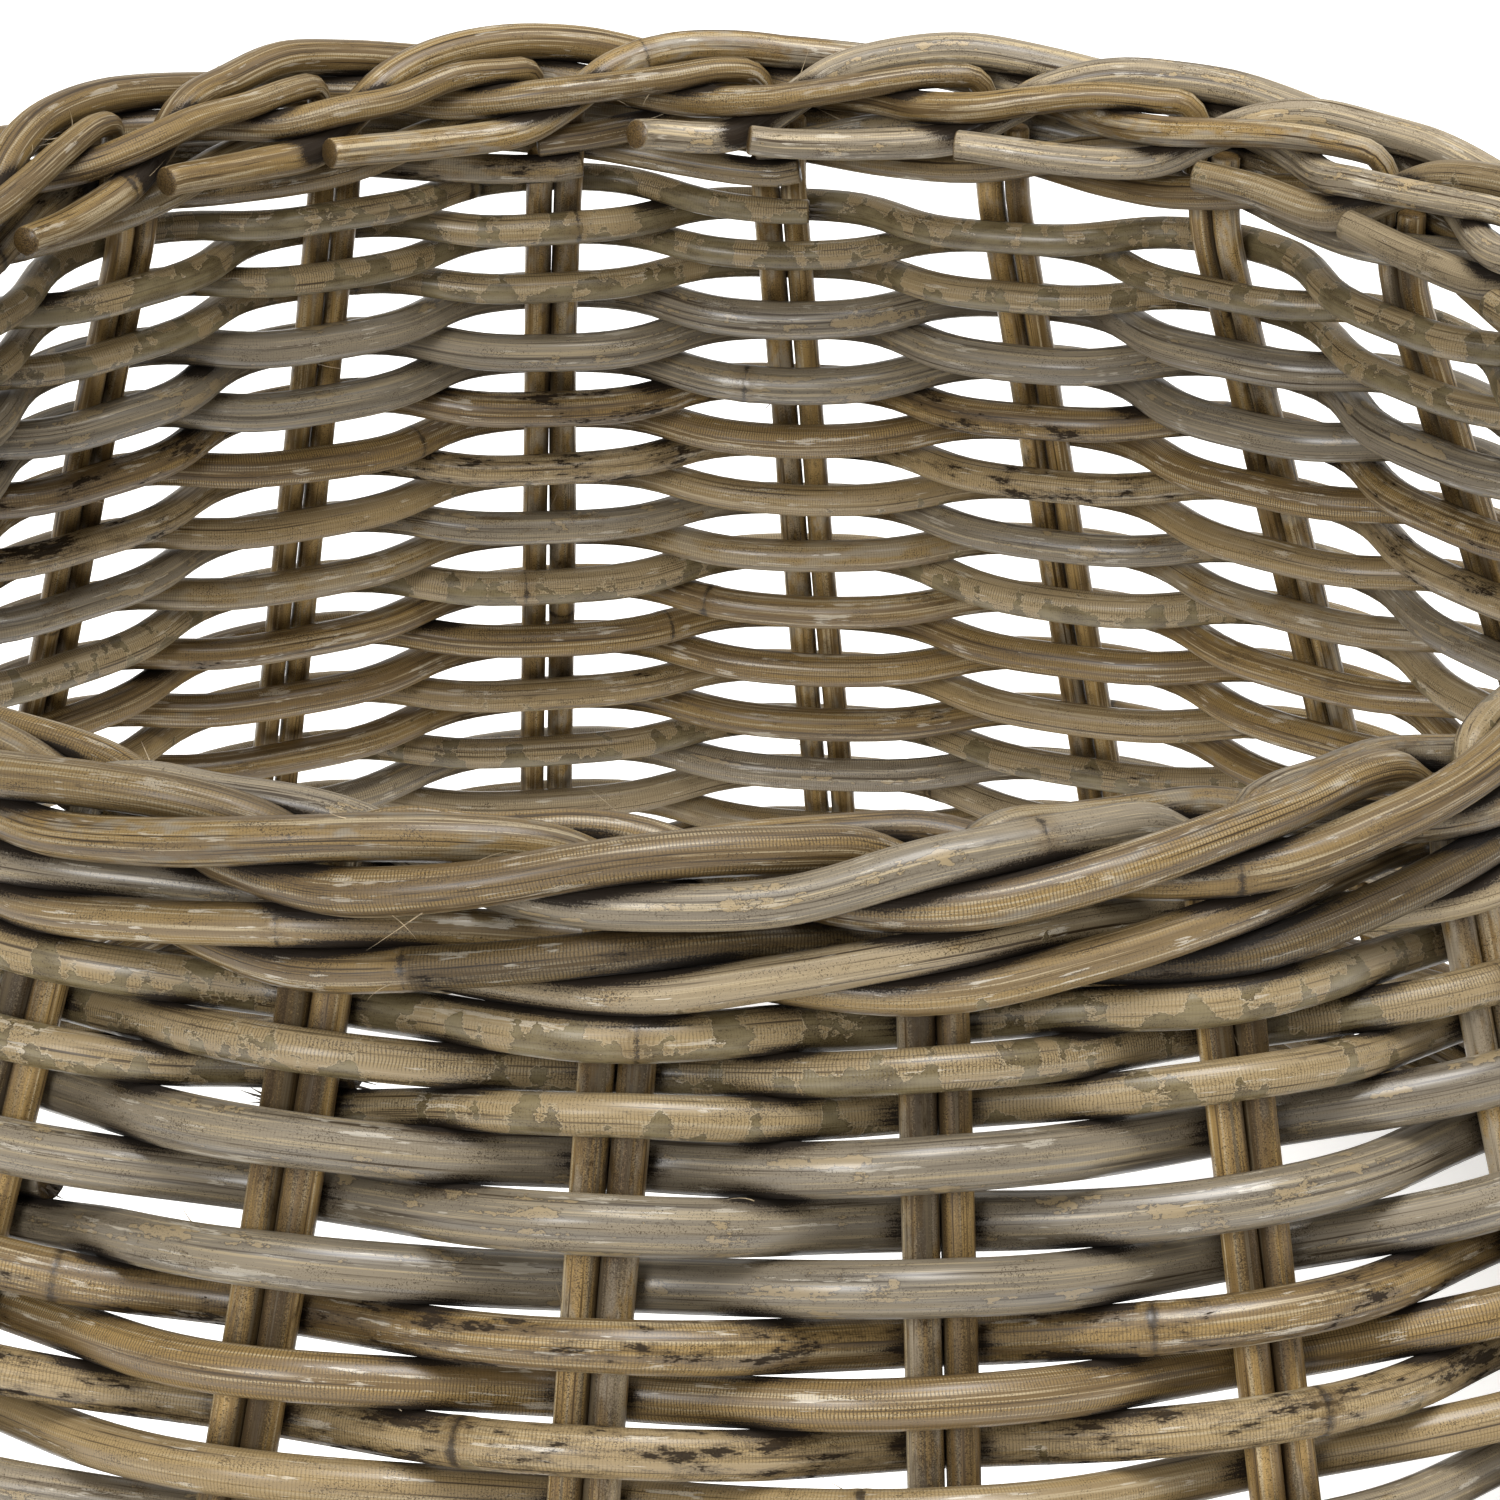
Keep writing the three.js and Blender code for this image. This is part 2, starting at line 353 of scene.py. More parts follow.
def layWales():
    starts = wall["stakes"] // wale["stakesEach"]
    for k in range(wale["stakesEach"]):
        layWale("top_wale", k + 1, wale["topMiddle"], wale["radius"], 1,
                wale["joins"][k], wale["finishes"][k])
        for name, middle, flip in (("foot_wale", wale["footMiddle"], 1),
                                   ("foot_rim", wale["rimMiddle"], -1)):
            begin = k + wale["stakesEach"] * int(dice.integers(0, starts))
            layWale(name, k + 1, middle, wale["footRadius"], flip,
                    [begin + join for join in wale["footJoins"]], [anyFinish(), anyFinish()])


# each border cane goes up from its own stakes, in behind, out in front of two pairs and in again
border = {
    # stakes on, out, up over the first row, aside, radius
    "lay": [
        (0.0, 0.0, 9.6, 3.65, 3.2), (0.0, 0.0, 18, 3.65, 3.25), (0.0, -0.6, 24.5, 3.9, 3.3),
        (0.0, -2.6, 29, 6.0, 3.4), (0.25, -5.2, 30.5, 0, 3.5), (0.5, -8.5, 30, 0, 3.6),
        (0.8, -11.5, 28.5, 0, 3.8), (1.05, -12, 26.5, 0, 4.0), (1.3, -8.5, 24.5, 0, 4.2),
        (1.55, -2, 23.8, 0, 4.4), (1.8, 4.5, 24.4, 0, 4.6), (2.1, 8.8, 25.8, 0, 4.7),
        (2.5, 9.4, 28.6, 0, 4.75), (2.85, 7.8, 31.6, 0, 4.75), (3.2, 4.5, 33.6, 0, 4.75),
        (3.5, 0.5, 33.8, 0, 4.7), (3.75, -4, 31, 0, 4.6), (3.95, -8.5, 25.5, 0, 4.5),
        (4.2, -12.5, 20, 0, 4.4), (4.6, -15.5, 18.5, 0, 4.2), (5.0, -18, 20, 0, 4.0),
    ],
    "upright": 4,  # rows of the table that stay as they are
    "step": 2.6,
    "unevenUp": 0.5,
    "tail": (-0.35, 0.3),
    "thickness": (0.85, 0.90),
    "loose": (0.3, 0.3),
    "finishes": {
        0: finish(0.1, 0.0, 0.1, 0.1, 1.6), 1: finish(0.2, 0.1, 0.1, 0.2, 1.6),
        2: finish(0.1, 0.0, 0.15, 0.1, 1.6), 3: finish(0.5, 0.0, 0.1, 0.2, 1.5),
        4: finish(0.8, 0.0, 0.15, 0.3, 1.3), 5: finish(0.9, 0.0, 0.2, 0.4, 1.2),
        6: finish(0.95, 0.0, 0.2, 0.5, 1.15), 7: finish(0.85, 0.1, 0.25, 0.5, 1.2),
        8: finish(0.9, 0.0, 0.2, 0.5, 1.15), 9: finish(0.8, 0.1, 0.25, 0.5, 1.1),
        12: finish(0.6, 0.1, 0.2, 0.3, 0.8), 13: finish(0.75, 0.12, 0.3, 0.4, 0.78),
        14: finish(0.6, 0.0, 0.12, 0.25, 0.95), 15: finish(0.85, 0.0, 0.15, 1.0, 1.0),
        16: finish(0.2, 0.0, 0.3, 0.15, 1.05, nodeAt=[3.32]), 17: finish(0.62, 0.0, 0.12, 0.8, 1.12),
        18: finish(0.75, 0.0, 0.34, 0.35, 0.98, nodeAt=[1.97]), 19: finish(0.5, 0.1, 0.35, 0.3, 0.9),
        20: finish(0.45, 0.1, 0.3, 0.3, 1.0),
    },
}


def layBorder():
    for stake in range(wall["stakes"]):
        table = np.array(border["lay"])
        table[:, 0] += stake
        bends = table[border["upright"]:-1]
        bends[:, 2] += dice.normal(0, border["unevenUp"], len(bends))
        table[-1, 0] += dice.uniform(*border["tail"])
        places = throughPlaces(table[:, :4], border["step"])
        rising = table[:, 0] + np.arange(len(table)) * 1e-6  # no two rows at one place
        width = np.interp(places[:, 0], rising, table[:, 4]) * dice.uniform(*border["thickness"])
        number = f"{stake + 1:02d}"
        Cane(f"border_cane_{number}", f"border_rod_{number}", "border_rattan", places, width,
             border["finishes"].get(stake) or anyFinish(), loose=border["loose"])


layStakes()
layWeavers()
layWales()
layBorder()
print("canes laid:", len(canes), "points:", sum(len(c.points) for c in canes))

# the canes are pressed together until they lie on each other
press = {
    "steps": 70,
    "searchEvery": 14,
    "reach": 17.0,
    "slack": 0.12,
    "give": 0.9,
    "crowding": 0.6,
    "smoothing": 0.5,
    "smoothings": 3,
    "stiffUnder": 0.5,
    "stiffSmoothings": 12,
    "hold": 0.985,
    "overFloor": 0.05,
}


def stacked():
    points = np.concatenate([c.points for c in canes])
    radius = np.concatenate([c.radius for c in canes])
    owner = np.repeat(np.arange(len(canes)), [len(c.points) for c in canes])
    index = np.arange(len(points))
    before = np.where(np.r_[-1, owner[:-1]] == owner, index - 1, index)
    after = np.where(np.r_[owner[1:], -1] == owner, index + 1, index)
    return points, radius, owner, before, after


def neighbours(points, owner, after, reach):
    starts = np.flatnonzero(after != np.arange(len(points)))
    middles = (points[starts] + points[starts + 1]) / 2
    tree = kdtree.KDTree(len(starts))
    for i, middle in enumerate(middles):
        tree.insert(middle, i)
    tree.balance()
    first, second = [], []
    for i, middle in enumerate(middles):
        for _, j, _ in tree.find_range(middle, reach):
            if j > i:
                first.append(i)
                second.append(j)
    first, second = np.array(first), np.array(second)
    apart = owner[starts[first]] != owner[starts[second]]
    return starts[first[apart]], starts[second[apart]]


def closest(points, first, second):
    # nearest places on pairs of short straight stretches
    a, b = points[first], points[second]
    u, v = points[first + 1] - a, points[second + 1] - b
    w = a - b
    uu, vv, uv = (u * u).sum(1), (v * v).sum(1), (u * v).sum(1)
    uw, vw = (u * w).sum(1), (v * w).sum(1)
    across = np.maximum(uu * vv - uv * uv, 1e-6)
    s = np.clip((uv * vw - vv * uw) / across, 0, 1)
    t = np.clip((uv * s + vw) / np.maximum(vv, 1e-9), 0, 1)
    s = np.clip((uv * t - uw) / np.maximum(uu, 1e-9), 0, 1)
    apart = w + u * s[:, None] - v * t[:, None]
    distance = np.maximum(np.linalg.norm(apart, axis=1), 1e-6)
    return s, t, apart / distance[:, None], distance


def pressCanes():
    points, radius, owner, before, after = stacked()
    rest = points.copy()
    firmness = np.array([c.firmness for c in canes])[owner]
    stiff = firmness < press["stiffUnder"]
    for step in range(press["steps"]):
        if step % press["searchEvery"] == 0:
            first, second = neighbours(points, owner, after, press["reach"])
        s, t, away, distance = closest(points, first, second)
        radiusOne = radius[first] * (1 - s) + radius[first + 1] * s
        radiusTwo = radius[second] * (1 - t) + radius[second + 1] * t
        deep = np.maximum(radiusOne + radiusTwo - press["slack"] - distance, 0)
        touch = deep > 0
        f, g, s, t = first[touch], second[touch], s[touch], t[touch]
        share = firmness[f] / (firmness[f] + firmness[g])
        push = away[touch] * deep[touch][:, None] * press["give"]
        moved = np.zeros_like(points)
        weight = np.zeros(len(points))
        for at, amount, part in ((f, share * (1 - s), 1), (f + 1, share * s, 1),
                                 (g, (1 - share) * (1 - t), -1), (g + 1, (1 - share) * t, -1)):
            np.add.at(moved, at, part * push * amount[:, None])
            np.add.at(weight, at, amount)
        moved /= np.maximum(weight, 1)[:, None] ** press["crowding"]
        shift = points + moved - rest
        for _ in range(press["smoothings"]):
            shift += press["smoothing"] * ((shift[before] + shift[after]) / 2 - shift)
        for _ in range(press["stiffSmoothings"]):
            shift[stiff] = ((shift[before] + shift[after]) / 2)[stiff]
        points = rest + shift * press["hold"]
        points[:, 2] = np.maximum(points[:, 2], radius + press["overFloor"])
    overlaps = np.percentile(deep[touch], [50, 90, 99])
    print("canes pressed, overlaps left in mm:", np.round(overlaps, 2))
    at = 0
    for cane in canes:
        cane.points = points[at:at + len(cane.points)]
        at += len(cane.points)


pressCanes()

# round canes, with end faces, leaf joints and a place on the cane for every point
tube = {
    "sides": 16,
    "closest": 0.18,  # points nearer than this are left out
    "firstJoint": 60,
    "jointEvery": (380, 900),
    "jointSpace": (15, 90),  # from an end and from a chosen joint
    "jointRings": (-3, -1.6, -0.8, -0.35, 0, 0.35, 0.8, 1.6, 3),
    "jointSwell": (0.035, 1.8),  # how much, and over what length
    "jointGroove": (0.02, 0.5),
    "noJoint": 40.0,
    "endBevel": 0.5,
    "endWidth": 0.88,
    "endRing": 2.5,
    # how far and how strongly canes darken where they touch: dirt and painted shade in the crevices
    "dirtReach": 0.6,
    "dirtEnds": 3,  # times the reach
    "dirtSearch": 15.0,
    "dirtFacing": 3.0,
    "dirtAtStakes": 0.7,
    "anyTurn": 6,
    "oval": 0.015,
    "threeSided": 0.01,
    "changeOver": 1.5,  # length on which one finish goes over into the next
    "farAlong": 4000,
    "markReach": 20,  # the shader's marks reach this far from a joint
}


def addStations(cane):
    lengths = np.r_[0, np.cumsum(np.linalg.norm(np.diff(cane.points, axis=0), axis=1))]
    joints, cane.changeAt = [], math.inf
    endSpace, chosenSpace = tube["jointSpace"]
    at = dice.uniform(tube["firstJoint"], tube["jointEvery"][1])
    while at < lengths[-1] - endSpace:
        joints.append(at)
        at += dice.uniform(*tube["jointEvery"])
    for place in cane.finish["nodeAt"]:
        chosen = float(np.interp(cane.stakeAt[0] + place, cane.stakeAt, lengths))
        joints = [j for j in joints if abs(j - chosen) > chosenSpace] + [chosen]
        if cane.finish["beyond"]:
            cane.changeAt = chosen
    if cane.slot == "stake_rattan":
        joints = joints[:1]
    extra = []
    for fromEnd in (tube["endBevel"], tube["endRing"]):
        extra += [fromEnd, lengths[-1] - fromEnd]
    for joint in joints:
        extra += [joint + beside for beside in tube["jointRings"]]
    along = np.unique(np.round(np.concatenate([lengths, extra]), 2))
    along = along[np.r_[True, np.diff(along) > tube["closest"]]]
    cane.stations = np.stack([np.interp(along, lengths, cane.points[:, k]) for k in range(3)], -1)
    width = np.interp(along, lengths, cane.radius)
    gap = np.full(len(along), tube["noJoint"])
    for joint in joints:
        gap = np.minimum(gap, np.abs(along - joint))
    (swell, swellOver), (groove, grooveOver) = tube["jointSwell"], tube["jointGroove"]
    swell *= np.exp(-((gap / swellOver) ** 2))
    groove *= np.exp(-((gap / grooveOver) ** 2))
    width *= 1 + swell - groove
    width[[0, -1]] *= tube["endWidth"]
    cane.width, cane.along, cane.jointGap = width, along, gap
    cane.lighter = np.ones(len(along))
    # painted light: a weaver is made lighter on its far side, against the shade there
    if cane.slot == "weaver_rattan":
        far = 1 - frontShare(np.interp(along, lengths, cane.stakeAt))
        cane.lighter += (weave["farSidePaintedLight"] - 1) * far


def addFrames(cane):
    ahead = np.gradient(cane.stations, axis=0)
    ahead /= np.linalg.norm(ahead, axis=1)[:, None]
    side = np.cross(ahead[0], (0, 0, 1))
    if np.linalg.norm(side) < 0.1:
        side = np.cross(ahead[0], (0, 1, 0))
    sides = []
    for direction in ahead:
        side = side - direction * side.dot(direction)
        side /= np.linalg.norm(side)
        sides.append(side)
    sides = np.array(sides)
    ups = np.cross(ahead, sides)
    turn = 2 * np.pi * np.arange(tube["sides"]) / tube["sides"]
    cosine, sine = np.cos(turn)[None, :, None], np.sin(turn)[None, :, None]
    cane.rays = cosine * sides[:, None] + sine * ups[:, None]
    cane.turn = turn


def addDirtAndShade():
    # dirt and painted shade where canes touch: darker on the side that faces the other cane
    stations = np.concatenate([c.stations for c in canes])
    radius = np.concatenate([c.width for c in canes])
    owner = np.repeat(np.arange(len(canes)), [len(c.stations) for c in canes])
    index = np.arange(len(owner))
    after = np.where(np.r_[owner[1:], -1] == owner, index + 1, index)
    first, second = neighbours(stations, owner, after, tube["dirtSearch"])
    s, t, away, distance = closest(stations, first, second)
    gap = distance - radius[first] - radius[second]
    near = gap < tube["dirtEnds"] * tube["dirtReach"]
    first, second, away = first[near], second[near], away[near]
    strength = np.exp(-np.maximum(gap[near], 0) / tube["dirtReach"])
    upright = np.array([c.slot == "stake_rattan" for c in canes])[owner]
    strength *= np.where(upright[first] != upright[second], tube["dirtAtStakes"], 1)
    rays = np.concatenate([c.rays for c in canes])
    dirt = np.zeros(rays.shape[:2])
    for at, way in ((first, -1), (first + 1, -1), (second, 1), (second + 1, 1)):
        facing = (rays[at] * (way * away)[:, None]).sum(-1)
        np.maximum.at(dirt, at, strength[:, None] * np.clip(facing, 0, 1) ** tube["dirtFacing"])
    at = 0
    for cane in canes:
        count = len(cane.stations)
        rows = dirt[at:at + count]
        rows = (rows + np.roll(rows, 1, 1) + np.roll(rows, -1, 1)) / 3
        cane.dirt = (2 * rows + rows[np.r_[0, :count - 1]] + rows[np.r_[1:count, count - 1]]) / 4
        at += count


def placed(name, data, material=None):
    if material:
        data.materials.append(material)
    thing = bpy.data.objects.new(name, data)
    bpy.context.scene.collection.objects.link(thing)
    return thing


def makeMesh(cane, material):
    sides, count = tube["sides"], len(cane.stations)
    uneven = 1 + tube["oval"] * np.sin(2 * cane.turn + dice.uniform(0, tube["anyTurn"]))
    uneven += tube["threeSided"] * np.sin(3 * cane.turn)
    ring = cane.width[:, None] * uneven[None]
    points = cane.stations[:, None] + cane.rays * ring[..., None]
    mesh = bpy.data.meshes.new(cane.piece)
    mesh.vertices.add(count * sides)
    mesh.vertices.foreach_set("co", (points * metresPerMm).ravel())
    row, k = np.meshgrid(np.arange(count - 1), np.arange(sides), indexing="ij")
    here, beside = row * sides + k, row * sides + (k + 1) % sides
    quads = np.stack([here, beside, beside + sides, here + sides], -1).reshape(-1)
    startCap = np.arange(sides)[::-1]
    endCap = (count - 1) * sides + np.arange(sides)
    loops = np.concatenate([quads, startCap, endCap])
    starts = np.r_[np.arange(0, len(quads), 4), len(quads), len(quads) + sides]
    mesh.loops.add(len(loops))
    mesh.loops.foreach_set("vertex_index", loops)
    mesh.polygons.add(len(starts))
    mesh.polygons.foreach_set("loop_start", starts)
    mesh.update(calc_edges=True)
    mesh.shade_smooth()
    offset = dice.uniform(0, tube["farAlong"])
    place = np.empty((count, sides, 3))
    place[..., 0] = ring * np.cos(cane.turn)
    place[..., 1] = ring * np.sin(cane.turn)
    place[..., 2] = (cane.along + offset)[:, None]
    look, past = cane.finish, cane.finish["beyond"] or cane.finish
    share = np.clip((cane.along - cane.changeAt) / tube["changeOver"], 0, 1)[:, None]
    tone = np.empty((count, sides, 4))
    for k, part in enumerate(("tan", "skin", "stain", "craze")):
        tone[..., k] = look[part] * (1 - share) + past[part] * share
    mark = np.zeros((count, sides, 4))
    mark[..., 0] = (np.minimum(cane.jointGap, tube["markReach"]) / tube["markReach"])[:, None]
    mark[0, :, 1] = mark[-1, :, 1] = 1
    # dirt and painted shade where canes touch
    mark[..., 2] = cane.dirt
    # how light the cane is, times the painted light on a weaver's far side
    mark[..., 3] = (look["shade"] * (1 - share) + past["shade"] * share) * cane.lighter[:, None]
    for name, kind, field, values in (("canePlace", "FLOAT_VECTOR", "vector", place),
                                      ("caneTone", "FLOAT_COLOR", "color", tone),
                                      ("caneMark", "FLOAT_COLOR", "color", mark)):
        mesh.attributes.new(name, kind, "POINT").data.foreach_set(field, values.ravel())
    return placed(cane.piece, mesh, material)


# shader sockets that Python arithmetic works on
class Wire:
    def __init__(self, finish, socket):
        self.finish, self.socket = finish, socket

    def maths(self, operation, *values):
        sockets = dict(enumerate(values))
        return self.finish.add("ShaderNodeMath", {"operation": operation}, sockets)

    def __add__(self, other):
        return self.maths("ADD", self, other)

    def __radd__(self, other):
        return self.maths("ADD", other, self)

    def __sub__(self, other):
        return self.maths("SUBTRACT", self, other)

    def __rsub__(self, other):
        return self.maths("SUBTRACT", other, self)

    def __mul__(self, other):
        return self.maths("MULTIPLY", self, other)

    def __rmul__(self, other):
        return self.maths("MULTIPLY", other, self)


class Finish:
    def __init__(self, name):
        self.material = bpy.data.materials.new(name)
        self.material.use_nodes = True
        self.tree = self.material.node_tree
        self.tree.nodes.clear()

    def add(self, kind, settings=None, sockets=None, out=0):
        node = self.tree.nodes.new(kind)
        for name, value in (settings or {}).items():
            setattr(node, name, value)
        for name, value in (sockets or {}).items():
            if isinstance(value, Wire):
                self.tree.links.new(value.socket, node.inputs[name])
            else:
                node.inputs[name].default_value = value
        return Wire(self, node.outputs[out]) if node.outputs else None

    def parts(self, name):
        # the four numbers of a colour attribute
        colour = self.add("ShaderNodeAttribute", {"attribute_name": name})
        split = self.add("ShaderNodeSeparateColor", {}, {0: colour}).socket.node.outputs
        return [Wire(self, part) for part in (*split, colour.socket.node.outputs["Alpha"])]

    def noise(self, vector, squeeze, scale, detail, roughness):
        squeezed = self.add("ShaderNodeVectorMath", {"operation": "MULTIPLY"}, {0: vector, 1: squeeze})
        sockets = {"Vector": squeezed, "Scale": scale, "Detail": detail, "Roughness": roughness}
        return self.add("ShaderNodeTexNoise", {"noise_dimensions": "3D"}, sockets)

    def ramp(self, value, low, high, toLow=0.0, toHigh=1.0):
        sockets = {"Value": value, "From Min": low, "From Max": high, "To Min": toLow, "To Max": toHigh}
        return self.add("ShaderNodeMapRange", {"interpolation_type": "SMOOTHSTEP"}, sockets)

    def mix(self, factor, first, second, blend="MIX"):
        # a Mix node has its two colours at 6 and 7, and the mixed one at 2
        settings = {"data_type": "RGBA", "blend_type": blend, "clamp_factor": True}
        return self.add("ShaderNodeMix", settings, {0: factor, 6: first, 7: second}, out=2)


caneColours = {
    "bleached": (0.232, 0.198, 0.150, 1),
    "greyer": (0.152, 0.129, 0.096, 1),
    "tan": (0.232, 0.166, 0.086, 1),
    "tanDark": (0.120, 0.082, 0.042, 1),
    "core": (0.300, 0.235, 0.145, 1),
    "skin": (0.180, 0.150, 0.092, 1),
    "skinDark": (0.118, 0.094, 0.054, 1),
    # the pale of pale fibres, and the painted highlight on bark lips
    "paleAndHighlight": (0.360, 0.300, 0.205, 1),
    # pale skin flakes, whiter in part as a painted sheen
    "flakeAndSheen": (0.560, 0.520, 0.440, 1),
    "brown": (0.036, 0.023, 0.011, 1),
    "black": (0.010, 0.006, 0.003, 1),
}

# noises: how the place on the cane is squeezed across and along it, scale, detail, roughness.
# Fibres run along the cane, patches are longer than wide.
patterns = {
    "fibres": ((1, 1, 0.009), 1.0, 4.0, 0.72),
    "bands": ((1, 1, 0.03), 0.42, 2.0, 0.55),
    "blotches": ((1, 1, 0.35), 0.26, 3.0, 0.65),
    "grain": ((1, 1, 1), 3.4, 2.0, 0.7),
    "across": ((0.35, 0.35, 1), 0.13, 2.0, 0.6),
    "edges": ((1, 1, 0.6), 0.17, 5.0, 0.68),
    "flakesAndSheen": ((1, 1, 0.08), 0.55, 4.0, 0.74),
    "black": ((1, 1, 0.3), 0.22, 5.0, 0.8),
    "fibreSpots": ((1, 1, 1), 900.0, 2.0, 0.6),
}
stripePattern = {"Scale": 0.52, "Distortion": 5.0, "Detail": 1.0, "Detail Scale": 0.55,
                 "Detail Roughness": 0.6}

# where each mask begins and is full
masks = {
    "broken": (0.48, 0.66), "cracks": (0.45, 0.9), "uncracked": (0.68, 0.46),
    "barked": (0.02, 0.08), "bark": (-0.002, 0.004), "lipsAndHighlight": (-0.013, -0.004),
    "lipShadow": (0.014, 0.006), "greyWood": (0.6, 0.3), "greySkin": (0.2, 0.1),
    "worn": (0.578, 0.586), "wornEdge": (0.566, 0.575), "flakesAndSheen": (0.615, 0.64),
    "darker": (0.38, 0.60), "tanned": (0.38, 0.58), "core": (0.05, 0.4),
    "paleFibres": (0.52, 0.63), "streaks": (0.455, 0.34), "darkBark": (0.38, 0.62),
    "specks": (0.60, 0.67), "halo": (0.6, 4.5), "nearJoint": (3.0, 1.4),
    "dirt": (0.18, 0.40), "grimeAndShade": (0.38, 0.54), "pith": (0.42, 0.58),
    "glossBands": (0.40, 0.56), "glossShade": (0.5, 0.8), "fibreSpots": (0.4, 0.6),
}

# how much each pattern counts where several make a mask
shares = {
    "broken": (0.7, 0.5),  # fibres, grain
    "cracks": (0.4, 0.6),  # everywhere, where the grain is broken
    "bark": (0.56, 0.44, 0.014),  # across, edges, how far down the cane's side
    "barkFrom": (0.74, 0.36),  # on a cane without skin, and how much sooner with it
    "barkStreaks": (0.35, 0.15),  # streaks, cracks
    "worn": (0.6, 0.4),  # edges, bands
    "flakesAndSheen": 0.35,
    "tanned": 1.3,
    "specks": 0.5,
    "black": 0.10,
    "ragged": (3.0, 4.0),  # grain, blotches
    "dirt": (0.5, 0.9),  # grain, fibres
}

# begin and full for stain 0, each with what stain 1 takes off
stains = {
    "stainEdge": ((0.70, 0.36), (0.80, 0.34)),
    "blackened": ((0.80, 0.36), (0.83, 0.34)),
    "scar": ((0.0, 0.0), (0.35, -1.5)),
}

# how strongly each coat covers what lies under it, and its colour
coats = {
    "core": (0.85, "core"),
    "paleFibres": (0.9, "paleAndHighlight"),
    "streaks": (1.0, "brown"),
    "cracks": (0.75, "brown"),
    "lipsAndHighlight": (0.8, "paleAndHighlight"),
    "lipShadow": (0.45, "brown"),
    "worn": (0.75, "core"),
    "wornEdge": (0.6, "brown"),
    "flakesAndSheen": (1.0, "flakeAndSheen"),
    "specks": (0.85, "brown"),
    "stainEdge": (0.55, "brown"),
    "blackened": (0.9, "black"),
    "halo": (0.4, "tanDark"),
    "scar": (0.85, "black"),
    # dirt and painted shade where canes touch: brown further out, black nearest the contact
    "dirt": (0.55, "brown"),
    "grimeAndShade": (1.0, "black"),
}
barkCover = 0.95

# what each adds to or takes off roughness, gloss and height
surface = {
    "rough": {"fibres": 0.6, "bark": 0.14, "tanned": 0.06, "grimeAndShade": 0.3, "blackened": 0.4,
              "least": 0.16, "most": 0.95},
    "gloss": {"grey": 0.6, "flakesAndSheen": 0.5, "Coat Roughness": 0.3, "Coat IOR": 1.45,
              "Specular IOR Level": 0.2},
    "relief": {"fibres": 0.16, "bark": 0.10, "lipsAndHighlight": 0.06, "stripes": 0.02, "worn": 0.08,
               "flakesAndSheen": 0.08},
}
noiseMiddle = 0.5


